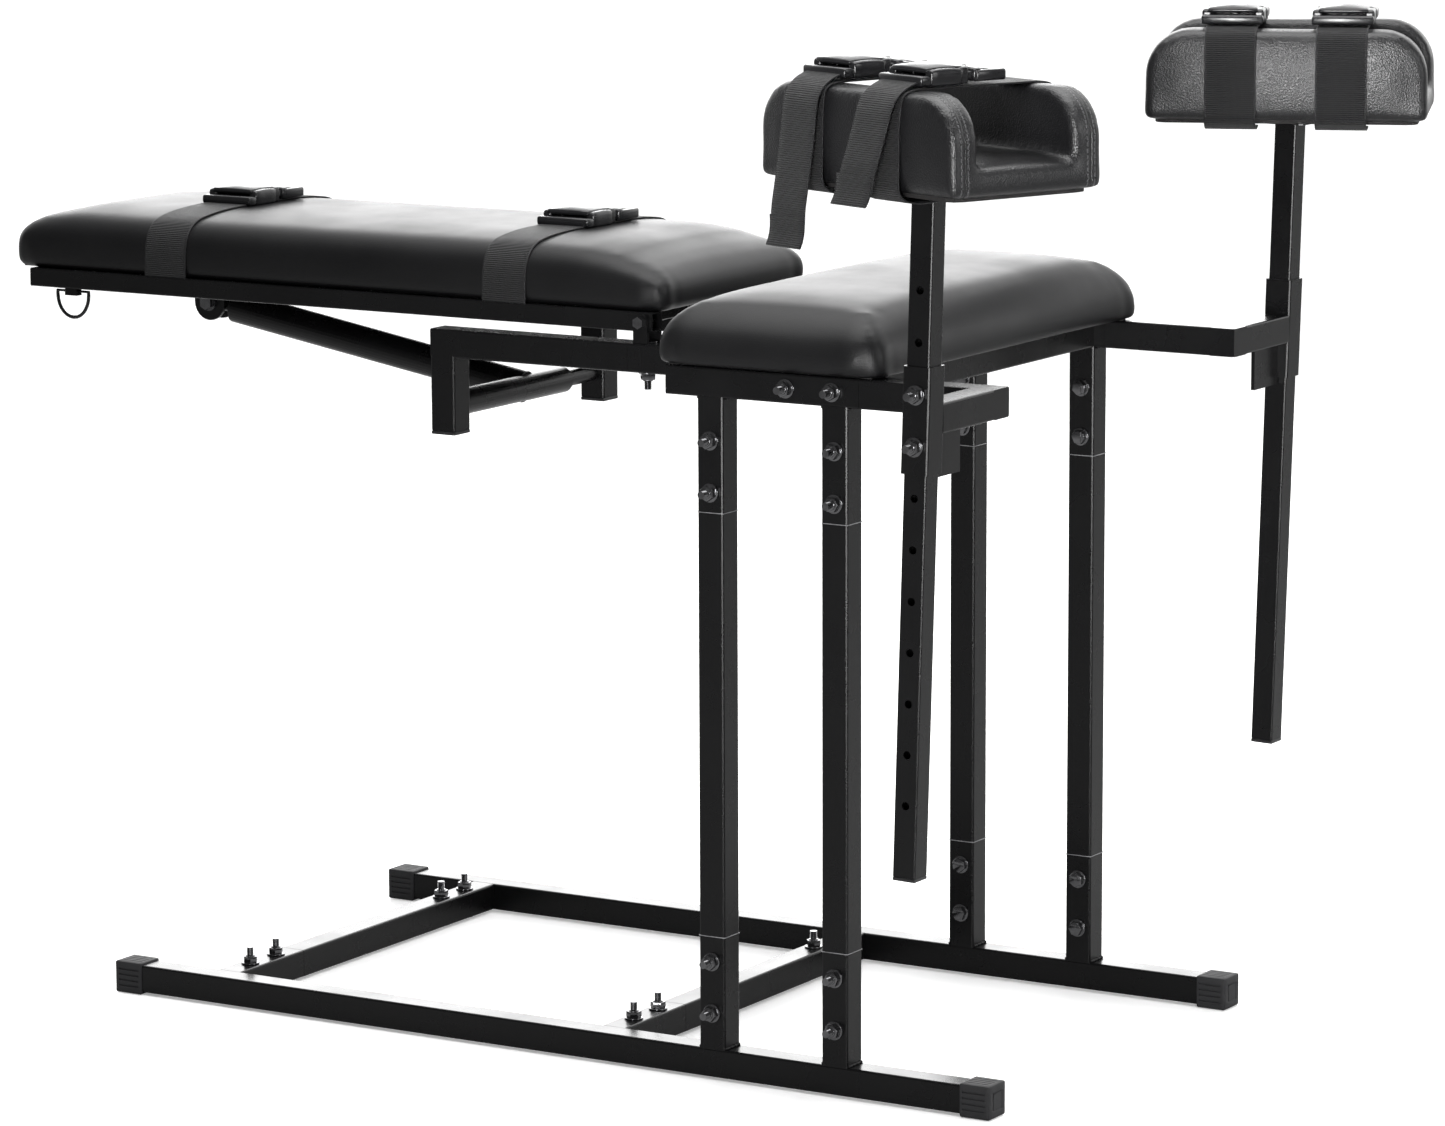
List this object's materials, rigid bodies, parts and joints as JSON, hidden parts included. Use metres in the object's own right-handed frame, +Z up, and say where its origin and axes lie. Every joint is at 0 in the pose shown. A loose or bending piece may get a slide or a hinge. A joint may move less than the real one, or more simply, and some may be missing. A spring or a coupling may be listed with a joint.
{
  "type": "padded bench",
  "caption": "Adjustable padded bench: reclining back on a telescopic prop, wide seat on a steel tube frame, and two strap-fitted leg cradles on height-adjustable posts.",
  "frame": {"origin": "on the floor, under the middle of the overall length and width", "axes": "+Z up, +X from the reclining back towards the leg cradles, +Y across to the far side"},
  "size_m": [1.4684, 1.0682, 1.0644],
  "materials": {
    "steel": "satin black powder coat on welded square tube",
    "plated": "black zinc plated and oiled",
    "plastic": "black moulded plastic",
    "rubber": "matte black, ribbed",
    "leatherette": "fine-grained black leatherette over foam",
    "webbing": "black ribbed nylon webbing",
    "plywood": "plywood board, black"
  },
  "bodies": {
    "base": {"base_rail_near": "steel", "end_cap_near_foot": "rubber", "leg_tube_near_foot": "steel", "end_cap_near_head": "rubber", "leg_tube_near_head": "steel", "base_rail_far": "steel", "end_cap_far_foot": "rubber", "leg_tube_far_foot": "steel", "end_cap_far_head": "rubber", "leg_tube_far_head": "steel", "cross_tube_foot": "steel", "cross_tube_head": "steel", "seat_frame": "steel", "seat_board": "plywood", "seat_pad": "leatherette", "recline_support": "steel", "support_plug_near": "plastic", "support_plug_far": "plastic", "prop_spacer": "steel", "hinge_pin_near": "plated", "cradle_arm_near": "steel", "clamp_bolt_near_lower": "plated", "clamp_bolt_near_upper": "plated", "hinge_pin_far": "plated", "cradle_arm_far": "steel", "clamp_bolt_far_lower": "plated", "clamp_bolt_far_upper": "plated"},
    "back": {"back_frame": "steel", "back_board": "plywood", "back_pad": "leatherette", "back_strap_foot": "webbing", "back_buckle_foot": "plastic", "back_strap_head": "webbing", "back_buckle_head": "plastic", "prop_bolt": "plated"},
    "prop_tube": {"prop_tube": "steel"},
    "prop_rod": {"prop_rod": "plated"},
    "d_ring": {"d_ring": "plated"},
    "post_near": {"post_near": "steel", "post_plug_near": "plastic"},
    "cradle_near": {"cradle_pad_near": "leatherette", "cradle_board_near": "plywood", "swivel_bolt_near": "plated", "cradle_strap_near_foot": "webbing", "cradle_buckle_near_foot": "plastic", "cradle_strap_near_head": "webbing", "cradle_buckle_near_head": "plastic"},
    "post_far": {"post_far": "steel", "post_plug_far": "plastic"},
    "cradle_far": {"cradle_pad_far": "leatherette", "cradle_board_far": "plywood", "swivel_bolt_far": "plated", "cradle_strap_far_foot": "webbing", "cradle_buckle_far_foot": "plastic", "cradle_strap_far_head": "webbing", "cradle_buckle_far_head": "plastic"}
  },
  "joints": [
    {"name": "back_recline", "type": "hinge", "parent": "base", "child": "back", "pos_m": [0.0908, 0, 0.757], "axis": [0, 1, 0], "range_deg": [0, 45]},
    {"name": "prop_swing", "type": "hinge", "parent": "base", "child": "prop_tube", "pos_m": [-0.1522, 0, 0.6535], "axis": [0, 1, 0], "range_deg": [0, 56.29]},
    {"name": "prop_extend", "type": "slide", "parent": "prop_tube", "child": "prop_rod", "axis": [-0.9863, 0, 0.1652], "range_m": [0, 0.17727]},
    {"name": "d_ring_swing", "type": "hinge", "parent": "back", "child": "d_ring", "pos_m": [-0.6502, -0.144, 0.7433], "axis": [1, 0, 0], "range_deg": [-80, 80]},
    {"name": "post_height_near", "type": "slide", "parent": "base", "child": "post_near", "axis": [0.0297, 0, 0.9996], "range_m": [-0.101, 0.303]},
    {"name": "cradle_swivel_near", "type": "hinge", "parent": "post_near", "child": "cradle_near", "pos_m": [0.56387, -0.3955, 0.9452], "axis": [0, 0, 1], "range_deg": [-68, 112]},
    {"name": "post_height_far", "type": "slide", "parent": "base", "child": "post_far", "axis": [0.0297, 0, 0.9996], "range_m": [-0.101, 0.303]},
    {"name": "cradle_swivel_far", "type": "hinge", "parent": "post_far", "child": "cradle_far", "pos_m": [0.56387, 0.3955, 0.9452], "axis": [0, 0, 1], "range_deg": [-112, 68]}
  ],
  "couplings": [
    {"joint": "prop_swing", "follows": "back_recline", "ratio": 1.2506},
    {"joint": "prop_extend", "follows": "back_recline", "m_per_rad": 0.22559}
  ]
}
